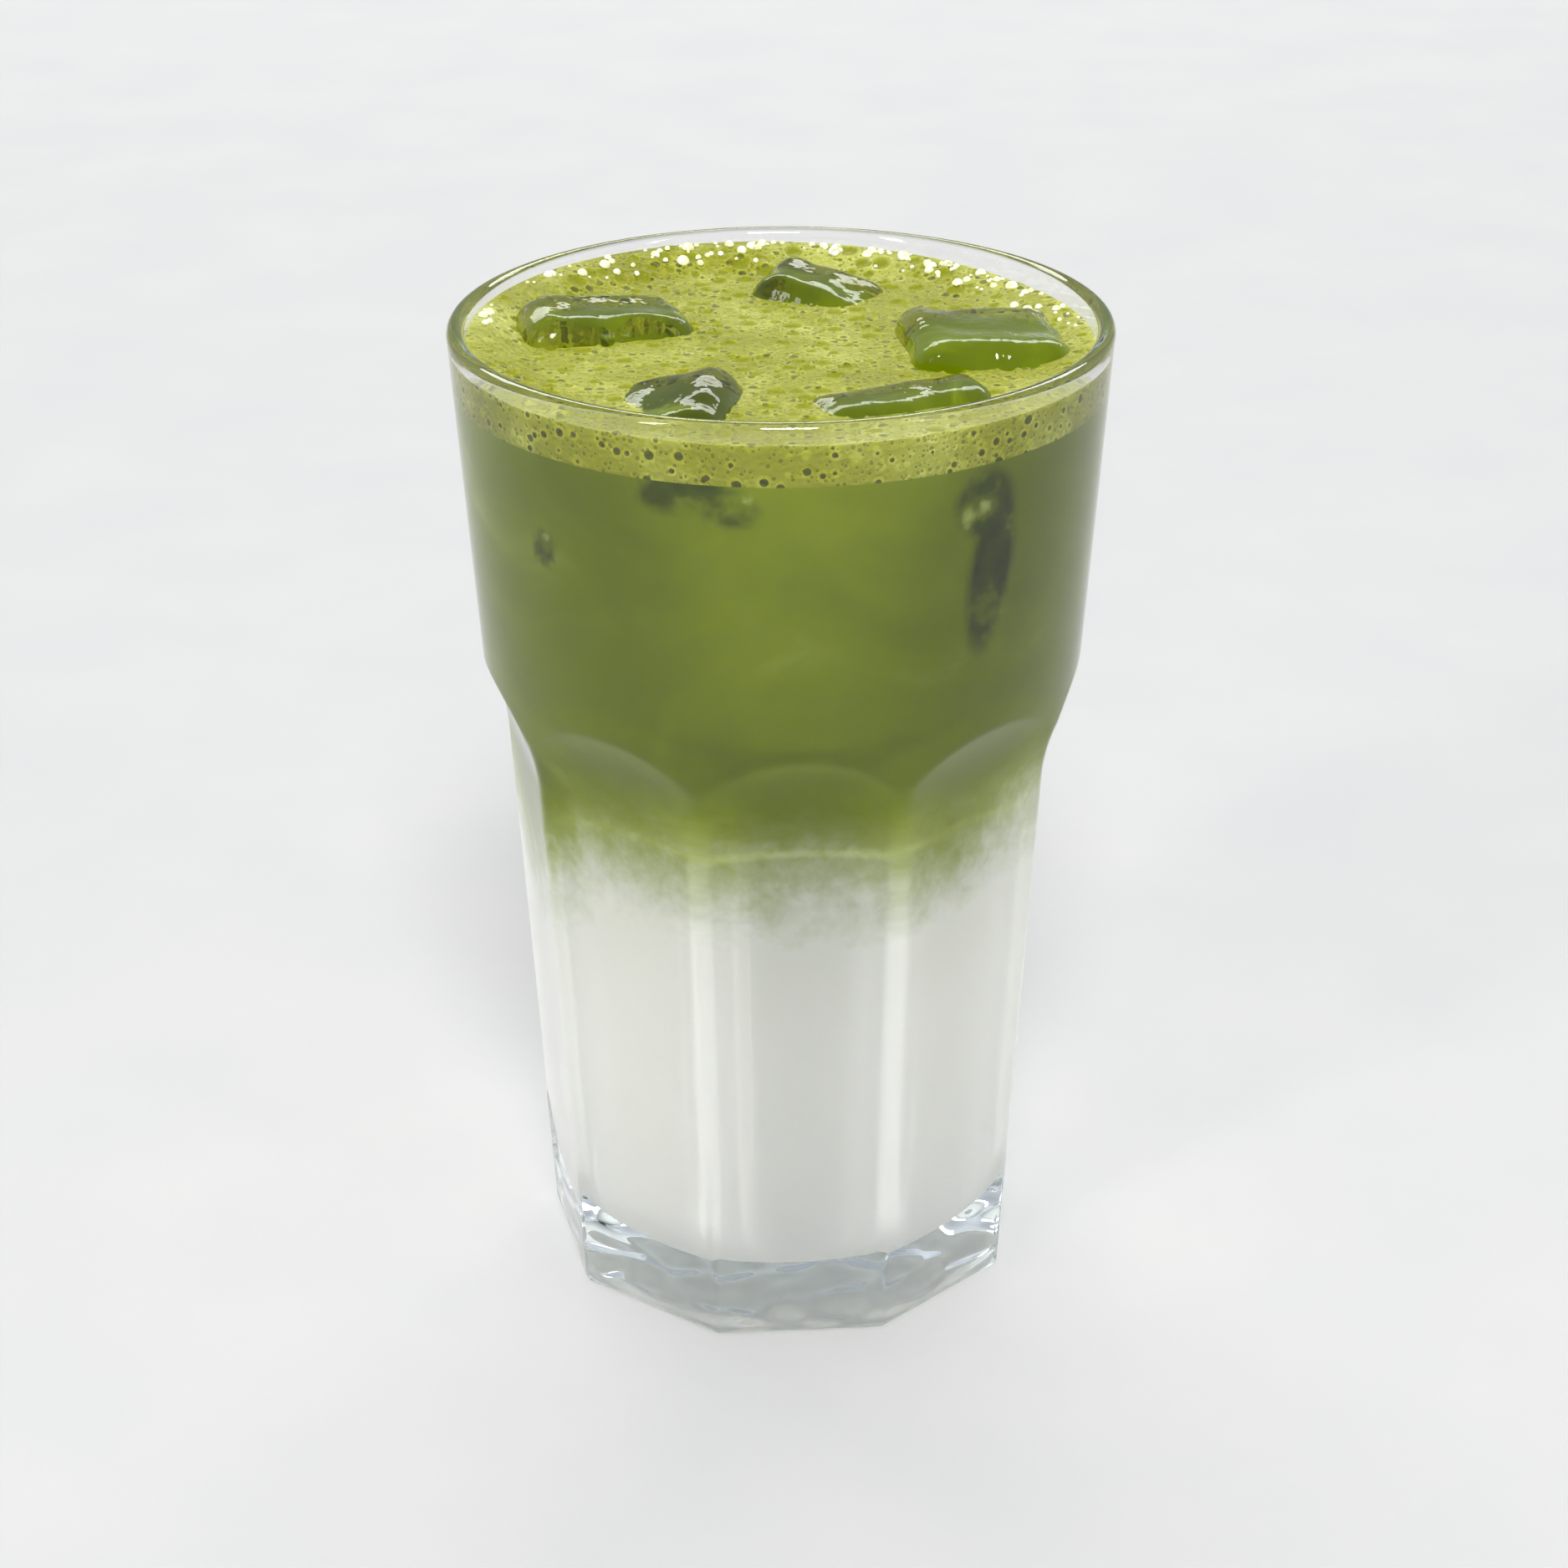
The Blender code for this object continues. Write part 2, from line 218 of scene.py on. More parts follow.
# %% Colour and node helpers
def linear(hex_colour):
    """sRGB hex to linear red, green, blue, alpha."""
    channels = [int(hex_colour[i:i + 2], 16) / 255 for i in (1, 3, 5)]
    return (*[c / 12.92 if c <= 0.04045 else ((c + 0.055) / 1.055) ** 2.4 for c in channels], 1.0)


def new_material(name):
    """A material with an empty node tree and its output."""
    material = bpy.data.materials.new(name)
    material.use_nodes = True
    material.node_tree.nodes.clear()
    return material, material.node_tree, material.node_tree.nodes.new("ShaderNodeOutputMaterial")


def add(tree, kind, inputs, **settings):
    """Add a node, set its properties, and set or link its inputs by name or number."""
    node = tree.nodes.new("ShaderNode" + kind)
    for key, value in settings.items():
        setattr(node, key, value)
    for key, value in inputs.items():
        if isinstance(value, bpy.types.NodeSocket):
            tree.links.new(value, node.inputs[key])
        else:
            node.inputs[key].default_value = value
    return node


def ramp(tree, factor, stops):
    """A colour ramp from a list of (position, hex colour)."""
    node = add(tree, "ValToRGB", {"Fac": factor})
    elements = node.color_ramp.elements
    while len(elements) < len(stops):
        elements.new(0.5)
    for element, (position, colour) in zip(elements, stops):
        element.position = position
        element.color = linear(colour)
    return node.outputs["Color"]


def per_mm(size):
    """Texture scale that gives a pattern of this size in mm on Object coordinates in metres."""
    return 1.0 / (size * MM)


# %% [markdown]
# ## The camera and the light
#
# The photograph looks down at the glass by about 25 degrees from half a metre away, through a lens of about
# 79 mm on a full-frame sensor. The set is a plain pale board under soft light. A tall narrow window at each
# side in front throws the bright upright bands on the milk, which are light gathered by the ribs. A soft box
# above the camera fills the front, and a wide one behind lights only the board. The room itself is a sky
# whose colour follows the direction: dim where the tops of the ice mirror it, bright at the sides.

# %% Camera
CAMERA_DISTANCE = 494.1         # mm, to the point it looks at
CAMERA_ELEVATION = math.radians(24.92)
CAMERA_ROLL = math.radians(-0.2)
CAMERA_TARGET = (0.2, 0.0, 71.7)
FOCAL_PIXELS = 4127.0           # focal length in pixels of the 1875-pixel frame
FRAME_PIXELS = 1875.0
SENSOR = 36.0

camera_data = bpy.data.cameras.new("camera")
camera_data.sensor_width = SENSOR
camera_data.lens = FOCAL_PIXELS / FRAME_PIXELS * SENSOR
camera_data.clip_start = 0.01
camera = bpy.data.objects.new("camera", camera_data)
bpy.context.scene.collection.objects.link(camera)
bpy.context.scene.camera = camera
offset = Vector((0.0, -math.cos(CAMERA_ELEVATION), math.sin(CAMERA_ELEVATION))) * CAMERA_DISTANCE
camera.location = (Vector(CAMERA_TARGET) + offset) * MM
aim = Euler((math.pi / 2 - CAMERA_ELEVATION, 0.0, 0.0)).to_matrix().to_4x4()
camera.rotation_euler = (aim @ Matrix.Rotation(CAMERA_ROLL, 4, "Z")).to_euler()
print("lens (mm):", round(camera_data.lens, 1))


# %% Lights, world and floor
def area_light(name, place, target, width, height, watts, colour, through_glass=True):
    """A soft box at place (m) that faces target (m); through_glass bends its light in the glass."""
    data = bpy.data.lights.new(name, "AREA")
    data.shape = "RECTANGLE"
    data.size = width
    data.size_y = height
    data.energy = watts
    data.color = linear(colour)[:3]
    data.cycles.is_caustics_light = through_glass
    lamp = bpy.data.objects.new(name, data)
    lamp.location = place
    lamp.rotation_euler = (Vector(target) - Vector(place)).to_track_quat("-Z", "Y").to_euler()
    bpy.context.scene.collection.objects.link(lamp)
    return lamp


area_light("window_left", (-1.17, -1.17, 0.90), (0.0, 0.0, 0.07), 0.18, 0.9, 7.0, "#fffcf6")
area_light("window_right", (1.26, -1.05, 0.90), (0.0, 0.0, 0.07), 0.16, 0.9, 1.9, "#fbfbff")
area_light("front_box", (0.07, -1.28, 1.54), (0.0, -0.05, 0.05), 0.50, 0.45, 36.0, "#ffffff")
area_light("window_back", (-0.05, 1.55, 1.40), (0.0, 0.95, 0.0), 2.8, 0.5, 31.0, "#ffffff",
           through_glass=False)

WORLD_STRENGTH = 1.14
CEILING_FROM, CEILING_TO = 0.3, 0.95  # upright part of the direction between which the ceiling takes over
world = bpy.data.worlds.new("studio")
bpy.context.scene.world = world
world.use_nodes = True
sky = world.node_tree
sky.nodes.clear()
direction = add(sky, "SeparateXYZ", {0: add(sky, "TexCoord", {}).outputs["Generated"]})
room = ramp(sky, add(sky, "MapRange", {0: direction.outputs["Y"], 1: -1.0, 2: 1.0}).outputs[0],
            [(0.0, "#b6b6b8"), (0.3, "#c4c5c8"), (0.5, "#eff1f6"), (0.82, "#e3e5ea"), (0.94, "#a5a7ac")])
ceiling = add(sky, "MapRange", {0: direction.outputs["Z"], 1: CEILING_FROM, 2: CEILING_TO}).outputs[0]
sky_colour = add(sky, "Mix", {0: ceiling, 6: room, 7: linear("#c0c1c4")}, data_type="RGBA").outputs[2]
background = add(sky, "Background", {"Color": sky_colour, "Strength": WORLD_STRENGTH})
sky_output = sky.nodes.new("ShaderNodeOutputWorld")
sky.links.new(background.outputs[0], sky_output.inputs["Surface"])

FLOOR_SIZE = 6000.0
FLOOR_GAP = 0.15                # air under the foot, which makes it mirror the milk
half_floor = FLOOR_SIZE / 2
floor_mesh = bpy.data.meshes.new("floor")
floor_mesh.from_pydata([(x * half_floor * MM, y * half_floor * MM, -FLOOR_GAP * MM) for x, y in
                        ((-1, -1), (1, -1), (1, 1), (-1, 1))], [], [(0, 1, 2, 3)])
floor = bpy.data.objects.new("floor", floor_mesh)
bpy.context.scene.collection.objects.link(floor)
floor_material, tree, output = new_material("matt_white_board")
floor_grain = add(tree, "TexNoise", {"Vector": add(tree, "TexCoord", {}).outputs["Object"],
                                     "Scale": per_mm(40.0), "Detail": 3.0})
floor_colour = ramp(tree, floor_grain.outputs["Fac"], [(0.3, "#b4b4b4"), (0.7, "#b7b7b6")])
floor_shader = add(tree, "BsdfPrincipled", {"Base Color": floor_colour, "Roughness": 0.9})
tree.links.new(floor_shader.outputs[0], output.inputs["Surface"])
floor.data.materials.append(floor_material)

view = bpy.context.scene.view_settings
view.view_transform = "Standard"
view.look = "None"
cycles = bpy.context.scene.cycles
cycles.max_bounces = 10
cycles.transmission_bounces = 8
cycles.glossy_bounces = 4
cycles.diffuse_bounces = 3
cycles.transparent_max_bounces = 8
cycles.sample_clamp_indirect = 6.0
cycles.blur_glossy = 0.05

# %% [markdown]
# ## The tumbler
#
# One closed grid runs from the middle of the cavity's floor up the inner wall, over the lip, down the outer
# wall, under the foot and into the shallow dome below. Rows are close together only where the wall bends. The
# mould leaves soft waves under the base, about a millimetre high. The base mirrors the milk in them, and they
# break that mirror image into bright and dark patches.

# %% Glass surface
GLASS_COLUMNS = 432
MOULD_WAVE = 1.1               # mm, height of the waves below the base


def arc_rows(centre_r, centre_z, radius, start, end, count):
    """Radius and height of points on an arc between two angles in degrees."""
    angle = np.radians(np.linspace(start, end, count))
    return centre_r + radius * np.cos(angle), centre_z + radius * np.sin(angle)


def mould_waves(radius, angle):
    """Height of the waves below the base: M (2 + sin(x/a + 2 sin(y/b)) + sin(y/c - 2 sin(x/d))) / 4.

    They fade out towards the flat ring that the glass stands on.
    """
    x, y = radius * np.sin(angle), -radius * np.cos(angle)
    swell = 2.0 + np.sin(x / 1.7 + 2.0 * np.sin(y / 4.0)) + np.sin(y / 2.1 - 2.0 * np.sin(x / 5.0))
    return MOULD_WAVE * swell / 4.0 * smoothstep(-radius, -FOOT_RING, -27.5)


theta = np.arange(GLASS_COLUMNS) * (2 * math.pi / GLASS_COLUMNS)
LAST_RING = 1.0                 # mm, radius of the last ring before the lower pole
corner_top = FLOOR + FLOOR_CORNER
corner_r, corner_z = arc_rows(cavity_radius(corner_top) - FLOOR_CORNER, corner_top, FLOOR_CORNER, -90, 0, 12)
floor_r = np.linspace(2.0, corner_r[0] - 1.0, 8)
wall_z = np.concatenate([np.linspace(corner_top + 2, SHOULDER_LOW, 10),
                         np.linspace(SHOULDER_LOW + 0.8, SHOULDER_HIGH, 20),
                         np.linspace(SHOULDER_HIGH + 3, HEIGHT - LIP_WALL / 2 - 1, 8)])
lip_r, lip_z = arc_rows(RIM_RADIUS - LIP_WALL / 2, HEIGHT - LIP_WALL / 2, LIP_WALL / 2, 180, 0, 16)
inner_r = np.concatenate([floor_r, corner_r, cavity_radius(wall_z), lip_r])
inner_z = np.concatenate([np.full(len(floor_r), FLOOR), corner_z, wall_z, lip_z])

outer_z = np.concatenate([np.linspace(HEIGHT - LIP_WALL / 2 - 1, 98.5, 9), np.linspace(98.0, 76.0, 56),
                          np.linspace(73.0, FOOT_ROUND + 1, 14), np.linspace(FOOT_ROUND, 0.0, 9)])
outer_grid = outer_radius(theta[None, :], outer_z[:, None])
under_r = np.linspace(FOOT_RING, LAST_RING, 64)[:, None]
under_z = RECESS_DEPTH * np.maximum(1.0 - (under_r / RECESS_RADIUS) ** 2, 0.0) + mould_waves(under_r, theta)

glass_r = np.concatenate([np.repeat(inner_r[:, None], GLASS_COLUMNS, 1), outer_grid,
                          np.repeat(under_r, GLASS_COLUMNS, 1)])
wall_heights = np.concatenate([inner_z, outer_z])[:, None]
glass_z = np.concatenate([np.repeat(wall_heights, GLASS_COLUMNS, 1), under_z])
glass_points = turned_points(theta, glass_r, glass_z, FLOOR, RECESS_DEPTH)
glass = make_piece("tumbler", glass_points, *turned_faces(len(glass_r), GLASS_COLUMNS), "glass", "glass")

# %% [markdown]
# Pressed soda-lime glass: clear, polished by the flame, with an index of 1.52. Where light runs a long way
# in it, as along the base and the lip, a trace of iron turns it a cold blue-green, so the colour is in the
# volume and not on the surface.

# %% Glass material
GLASS_IOR = 1.52
GLASS_TINT = "#c3dde8"          # colour after the light has run through the depth below
GLASS_TINT_DENSITY = 8.0       # per metre

glass_material, tree, output = new_material("pressed_soda_lime_glass")
glass_waves = add(tree, "TexNoise", {"Vector": add(tree, "TexCoord", {}).outputs["Object"],
                                     "Scale": per_mm(14.0), "Detail": 2.0})
glass_bump = add(tree, "Bump", {"Height": glass_waves.outputs["Fac"], "Strength": 0.12, "Distance": 0.4 * MM})
glass_shader = add(tree, "BsdfPrincipled", {"Base Color": (1.0, 1.0, 1.0, 1.0), "Roughness": 0.015,
                                            "Transmission Weight": 1.0, "IOR": GLASS_IOR,
                                            "Normal": glass_bump.outputs["Normal"]})
glass_volume = add(tree, "VolumeAbsorption", {"Color": linear(GLASS_TINT), "Density": GLASS_TINT_DENSITY})
glass_open = add(tree, "BsdfTransparent", {"Color": (0.95, 0.96, 0.96, 1.0)})
for_lamps = add(tree, "LightPath", {}).outputs["Is Shadow Ray"]
glass_surface = add(tree, "MixShader", {0: for_lamps, 1: glass_shader.outputs[0], 2: glass_open.outputs[0]})
tree.links.new(glass_surface.outputs[0], output.inputs["Surface"])
tree.links.new(glass_volume.outputs[0], output.inputs["Volume"])
glass.data.materials.append(glass_material)


# %% [markdown]
# ## Where the milk turns to tea
#
# The line between the layers isn't level: it climbs on the right and sinks on the left. Each point of the two
# layers stores how far it is above that line, and the material clouds the line with three noises, one as wide
# as a fingertip, one like a grain of rice and one like a poppy seed, so that the layers mingle as poured milk
# does.

# %% Line between the layers
def milk_wave(x, y):
    """Height of the line against its mean: 3.2 sin^2 t - 2.4 cos t plus two ripples, fading to the axis."""
    azimuth = np.arctan2(x, -y)
    side = 3.2 * np.sin(azimuth) ** 2 - 2.4 * np.cos(azimuth)
    ripple = 1.1 * np.sin(5 * azimuth + 0.6) + 0.6 * np.sin(11 * azimuth)
    return (side + ripple) * smoothstep(np.hypot(x, y), 6.0, 30.0)


BLEND_MIDDLE = 72.0             # height at the front where the eye sees half milk, half tea


def blend_line(x, y):
    """Height of the visible half-and-half line: high on the right, 5.5 sin^4 t, and low on the left."""
    azimuth = np.arctan2(x, -y)
    right, left = np.maximum(np.sin(azimuth), 0.0), np.maximum(-np.sin(azimuth), 0.0)
    return (BLEND_MIDDLE + 5.5 * right**4 - 8.0 * left**6
            + 1.0 * np.sin(3 * azimuth + 2.4) + 0.8 * np.sin(7 * azimuth + 1.0))


# %% [markdown]
# Ice that is wholly sunk in the tea shows only where it leans on the glass: clear ice there lets the eye into
# the dark, shaded drink behind it. A solid piece of ice just inside the wall would need a film of water to
# look right, so the tea's own points store how much ice lies behind them, and the drink's colour there is
# painted shade with painted glints.

# %% Painted shade of the sunk ice
# For each mark of painted shade: azimuth (degrees), height, half width and half height (mm), and lean
# (degrees)
PAINTED_ICE_SHADE_MARKS = ((-17.0, 131.2, 5.8, 2.7, 14.0), (-9.5, 129.4, 4.0, 2.8, -8.0), (40.0, 117.5, 3.4, 11.5, -6.0),
              (37.5, 127.0, 4.6, 4.6, 10.0), (-46.5, 119.4, 1.7, 2.5, -24.0))


MARK_EDGE = (0.8, 1.2)          # shares of the ellipse between which the mark fades
WALL_REACH = 30.0               # mm, points nearer to the axis than this aren't on the wall


def painted_ice_shade(x, y, z):
    """Share of painted shade from ice behind the wall: 1 well within a mark's leaning ellipse, falling
    smoothly to 0 outside.
    """
    share = np.zeros_like(z)
    for azimuth, height, wide, high, lean in PAINTED_ICE_SHADE_MARKS:
        along = cavity_radius(height) * (np.arctan2(x, -y) - math.radians(azimuth))
        up = z - height
        lean = math.radians(lean)
        reach = np.hypot((along * math.cos(lean) + up * math.sin(lean)) / wide,
                         (up * math.cos(lean) - along * math.sin(lean)) / high)
        share = np.maximum(share, 1.0 - smoothstep(reach, *MARK_EDGE))
    return share * (np.hypot(x, y) > WALL_REACH)


def store_place(piece):
    """Store for each point how far it is above the blend line, and the share of painted shade from ice behind
    the wall there.
    """
    points = np.empty(len(piece.data.vertices) * 3, np.float32)
    piece.data.vertices.foreach_get("co", points)
    x, y, z = points.reshape(-1, 3).T / MM
    add_attribute(piece, "above_blend", z - blend_line(x, y))
    add_attribute(piece, "painted_ice_shade", painted_ice_shade(x, y, z))


# %% [markdown]
# The milk and the tea are turned grids like the glass. Both reach a hair into the wall, because a film of air
# between drink and glass would mirror the room.

# %% Layer surfaces
LAYER_COLUMNS = 288
layer_theta = np.arange(LAYER_COLUMNS) * (2 * math.pi / LAYER_COLUMNS)


def layer(name, radii, heights, slot, node, lifted):
    """A turned layer of the drink; the rows named in lifted follow the milk's wave."""
    radius = np.repeat(np.asarray(radii)[:, None], LAYER_COLUMNS, 1)
    height = np.repeat(np.asarray(heights, float)[:, None], LAYER_COLUMNS, 1)
    x, y = radius * np.sin(layer_theta), -radius * np.cos(layer_theta)
    height[lifted] += milk_wave(x, y)[lifted]
    edge = MILK_TOP + milk_wave(cavity_radius(MILK_TOP) * np.sin(layer_theta),
                                -cavity_radius(MILK_TOP) * np.cos(layer_theta))
    radius[lifted] *= (cavity_radius(edge) + INTO_WALL) / (cavity_radius(MILK_TOP) + INTO_WALL)
    points = turned_points(layer_theta, radius, height, heights[0], heights[-1])
    piece = make_piece(name, points, *turned_faces(len(radius), LAYER_COLUMNS), slot, node)
    store_place(piece)
    return piece


top_r = np.linspace(2.0, cavity_radius(MILK_TOP) + INTO_WALL, 14)
milk_wall = np.linspace(MILK_TOP - 6.0, corner_top + 1.0, 20)
milk_corner_r, milk_corner_z = arc_rows(
    cavity_radius(corner_top) - FLOOR_CORNER, corner_top, FLOOR_CORNER + INTO_WALL, 0, -90, 12)
milk_r = np.concatenate([top_r, cavity_radius(milk_wall) + INTO_WALL, milk_corner_r])
milk_z = np.concatenate([np.full(len(top_r), MILK_TOP), milk_wall, milk_corner_z])
milk = layer("milk_layer", milk_r, milk_z, "milk", "milk", slice(0, len(top_r)))

matcha_wall = np.concatenate([np.linspace(MATCHA_TOP, SHOULDER_HIGH, 36),
                              np.linspace(SHOULDER_HIGH - 0.8, SHOULDER_LOW, 20),
                              np.linspace(SHOULDER_LOW - 1.0, MILK_TOP + 6.0, 4)])
matcha_r = np.concatenate([np.linspace(2.0, cavity_radius(MATCHA_TOP) - 1.0, 6),
                           cavity_radius(matcha_wall) + INTO_WALL, top_r[::-1]])
matcha_z = np.concatenate([np.full(6, MATCHA_TOP), matcha_wall, np.full(len(top_r), MILK_TOP - 0.05)])
tea_foot = slice(len(matcha_r) - len(top_r), None)
matcha = layer("matcha_layer", matcha_r, matcha_z, "matcha", "matcha", tea_foot)

# %% [markdown]
# Milk is a cloud of fat drops: light goes in a little way and comes out white, so its shadows are soft. The
# matcha is tea leaf ground to dust in the same milk, deep yellow-green and a little patchy. Both lie against
# the glass with no air between, so they have no shine of their own there.

# %% Drink material
DRINK_SPREAD = (1.2, 1.08, 0.84)  # mm, how far red, green and blue light spreads in the drink
# Noises that cloud the line: size, reach up and down (mm), distortion
CLOUDS = ((15.0, 3.4, 0.5), (4.0, 2.0, 0.3), (1.2, 1.0, 0.0))
BLEND_FROM = -9.0               # mm from the line, where the drink is all milk
BLEND_TO = 12.5                 # and all tea
DEEP_FROM, DEEP_TO = 6.0, 16.0  # mm above the line, where the tea's own patches take over
TEA_PATCH = 30.0                # mm, size of the lighter and darker patches in the tea
# Painted highlight: the glints on the sunk ice are pale spots painted into the drink's colour.
PAINTED_GLINT_SIZE = 6.0                 # mm, size of the glints on sunk ice
DRINK_IOR = 1.34


def drink_material(name):
    """Milk below, tea above, clouded where they meet by the three noises."""
    material, tree, output = new_material(name)
    place = add(tree, "TexCoord", {}).outputs["Object"]
    above = add(tree, "Attribute", {}, attribute_name="above_blend").outputs["Fac"]
    shifted = above
    for size, reach, bend in CLOUDS:
        cloud = add(tree, "TexNoise", {"Vector": place, "Scale": per_mm(size), "Detail": 3.0,
                                       "Roughness": 0.6, "Distortion": bend}).outputs["Fac"]
        shift = add(tree, "MapRange", {0: cloud, 1: 0.25, 2: 0.75, 3: -reach, 4: reach}).outputs[0]
        shifted = add(tree, "Math", {0: shifted, 1: shift}, operation="ADD").outputs[0]
    share = add(tree, "MapRange", {0: shifted, 1: BLEND_FROM, 2: BLEND_TO}).outputs[0]
    blend = ramp(tree, share, [(0.0, "#fffcf4"), (0.2, "#eeeedf"), (0.45, "#c6cd9c"),
                               (0.7, "#a3ad54"), (1.0, "#8d9904")])
    patch = add(tree, "TexNoise", {"Vector": place, "Scale": per_mm(TEA_PATCH), "Detail": 5.0,
                                   "Distortion": 0.8}).outputs["Fac"]
    tea = ramp(tree, patch, [(0.35, "#707e00"), (0.5, "#788600"), (0.62, "#808e00"), (0.72, "#919e30")])
    depth = add(tree, "MapRange", {0: above, 1: DEEP_FROM, 2: DEEP_TO}).outputs[0]
    colour = add(tree, "Mix", {0: depth, 6: blend, 7: tea}, data_type="RGBA").outputs[2]
    # Painted shade: where sunk ice lies behind the wall the colour turns dark olive, standing in for the
    # shaded hollow behind the ice, with pale painted glints in spots.
    painted_shade_mask = add(tree, "Attribute", {}, attribute_name="painted_ice_shade").outputs["Fac"]
    painted_shade_and_glint_noise = add(tree, "TexNoise", {"Vector": place, "Scale": per_mm(PAINTED_GLINT_SIZE),
                                       "Detail": 3.0}).outputs["Fac"]
    painted_shade_and_glints = ramp(tree, painted_shade_and_glint_noise, [(0.3, "#2e3a00"), (0.52, "#485600"), (0.62, "#6f7d0c"),
                                      (0.7, "#b9c16a")])
    colour = add(tree, "Mix", {0: painted_shade_mask, 6: colour, 7: painted_shade_and_glints}, data_type="RGBA").outputs[2]
    shader = add(tree, "BsdfPrincipled", {"Base Color": colour, "Roughness": 0.5, "IOR": DRINK_IOR,
                                          "Specular IOR Level": 0.0, "Subsurface Weight": 0.2,
                                          "Subsurface Radius": DRINK_SPREAD, "Subsurface Scale": MM})
    tree.links.new(shader.outputs[0], output.inputs["Surface"])
    return material


milk.data.materials.append(drink_material("cold_milk"))
matcha.data.materials.append(drink_material("whisked_matcha"))


# %% [markdown]
# ## The foam
#
# Shaken tea carries a foam of fine bubbles. The big ones have burst or lie just under the skin: seen from
# above each is a shallow round pit with a raised rim, and darker inside because it looks down on tea. A disc
# grid without a pole keeps the faces even: the square of parameters is bent to a circle ring by ring. The
# foam clings to the glass and climbs it, most at the back on the left.

# %% Foam surface
FOAM_CELLS = 276                # faces along each side of the disc's square
SIDE_ROWS = 9
BUBBLES = 1500
SMALL_BUBBLE, LARGE_BUBBLE = 0.30, 1.5  # mm, radii of the bubbles that are shaped in the mesh
BUBBLE_CROWDING = 5.0           # power that makes most bubbles small
BUBBLE_RIM, BUBBLE_PIT = 0.14, 0.30     # height of the rim and depth of the pit as shares of the radius
BUBBLE_GAP = 0.05               # mm, least distance between two bubbles
rng = np.random.default_rng(20)


def disc_grid(cells):
    """Square to disc: on each square ring of half-side s the point goes to radius s at an even angle."""
    line = np.linspace(-1.0, 1.0, cells + 1)
    u, v = np.meshgrid(line, line)
    flip = np.abs(v) > np.abs(u)
    radius = np.where(flip, v, u)
    with np.errstate(divide="ignore", invalid="ignore"):
        angle = np.where(flip, math.pi / 2 - math.pi / 4 * u / v, math.pi / 4 * v / u)
    angle = np.nan_to_num(angle)
    return radius * np.cos(angle), radius * np.sin(angle)


def foam_wave(x, y):
    """The foam's climb: nothing inside FOAM_CLIMB_START, then a smooth rise that is highest back left."""
    azimuth = np.arctan2(x, -y)
    back_left = np.maximum(np.cos(azimuth - FOAM_BACK_LEFT), 0.0)
    return (FOAM_AT_WALL + FOAM_AT_BACK_LEFT * back_left) * smoothstep(np.hypot(x, y), FOAM_CLIMB_START, 42.0)


def scatter_bubbles(count, small, large, edge, power):
    """Places and radii of bubbles: radii crowd towards small by the power, big ones are placed first."""
    radii = np.sort(small + (large - small) * rng.random(count) ** power)[::-1]
    reach = edge * np.sqrt(rng.random(count * 3))
    angle = rng.random(count * 3) * 2 * math.pi
    spots = np.stack([reach * np.sin(angle), -reach * np.cos(angle)], -1)
    chosen = np.zeros((0, 3))
    for spot in spots:
        if len(chosen) == count:
            break
        radius = radii[len(chosen)]
        apart = np.hypot(*(chosen[:, :2] - spot).T) - chosen[:, 2] - radius
        if len(chosen) == 0 or apart.min() > BUBBLE_GAP:
            chosen = np.concatenate([chosen, [(*spot, radius)]])
    return chosen


foam_radius = cavity_radius(FOAM_TOP) + INTO_WALL
disc_x, disc_y = disc_grid(FOAM_CELLS)
foam_x, foam_y = disc_x * foam_radius, disc_y * foam_radius
foam_z = FOAM_TOP + foam_wave(foam_x, foam_y)
pit = np.zeros_like(foam_z)
bubbles = scatter_bubbles(BUBBLES, SMALL_BUBBLE, LARGE_BUBBLE, foam_radius - 1.0, BUBBLE_CROWDING)
for x, y, radius in bubbles:
    away = np.hypot(foam_x - x, foam_y - y) / radius
    inside = np.clip(1.0 - away**2, 0.0, 1.0)
    rim = np.exp(-((away - 1.05) / 0.25) ** 2)
    foam_z += radius * (BUBBLE_RIM * rim - BUBBLE_PIT * inside)
    pit = np.maximum(pit, inside)
print(len(bubbles), "bubbles, foam height (mm):",
      round(float(foam_z.min()), 2), round(float(foam_z.max()), 2))

# %% [markdown]
# The disc's edge is walked round once, and rows of points go down from it along the glass to the foam's flat
# underside. Each point stores whether it is in an open bubble or at the wall, for the material.

# %% Foam sides and mesh
count = FOAM_CELLS + 1
index = np.arange(count * count).reshape(count, count)
foam_quads = np.stack([index[:-1, :-1], index[:-1, 1:], index[1:, 1:], index[1:, :-1]], -1).reshape(-1, 4)
loop = np.concatenate([index[0, :-1], index[:-1, -1], index[-1, :0:-1], index[:0:-1, 0]])
loop_x, loop_y, loop_z = (grid.ravel()[loop] for grid in (foam_x, foam_y, foam_z))
foam_foot = MATCHA_TOP - 0.05
foam_azimuth = np.arctan2(loop_x, -loop_y)
side_points = []
for row in range(1, SIDE_ROWS + 1):
    z = loop_z + (foam_foot - loop_z) * (row / SIDE_ROWS)
    radius = cavity_radius(z) + INTO_WALL
    side_points.append(np.stack([radius * np.sin(foam_azimuth), -radius * np.cos(foam_azimuth), z], -1))
top_points = np.stack([foam_x.ravel(), foam_y.ravel(), foam_z.ravel()], -1)
side_start = count * count
rows = [loop] + [side_start + row * len(loop) + np.arange(len(loop)) for row in range(SIDE_ROWS)]
side_quads = np.concatenate([np.stack([upper, lower, np.roll(lower, -1), np.roll(upper, -1)], -1)
                             for upper, lower in zip(rows[:-1], rows[1:])])
foot_centre = side_start + SIDE_ROWS * len(loop)
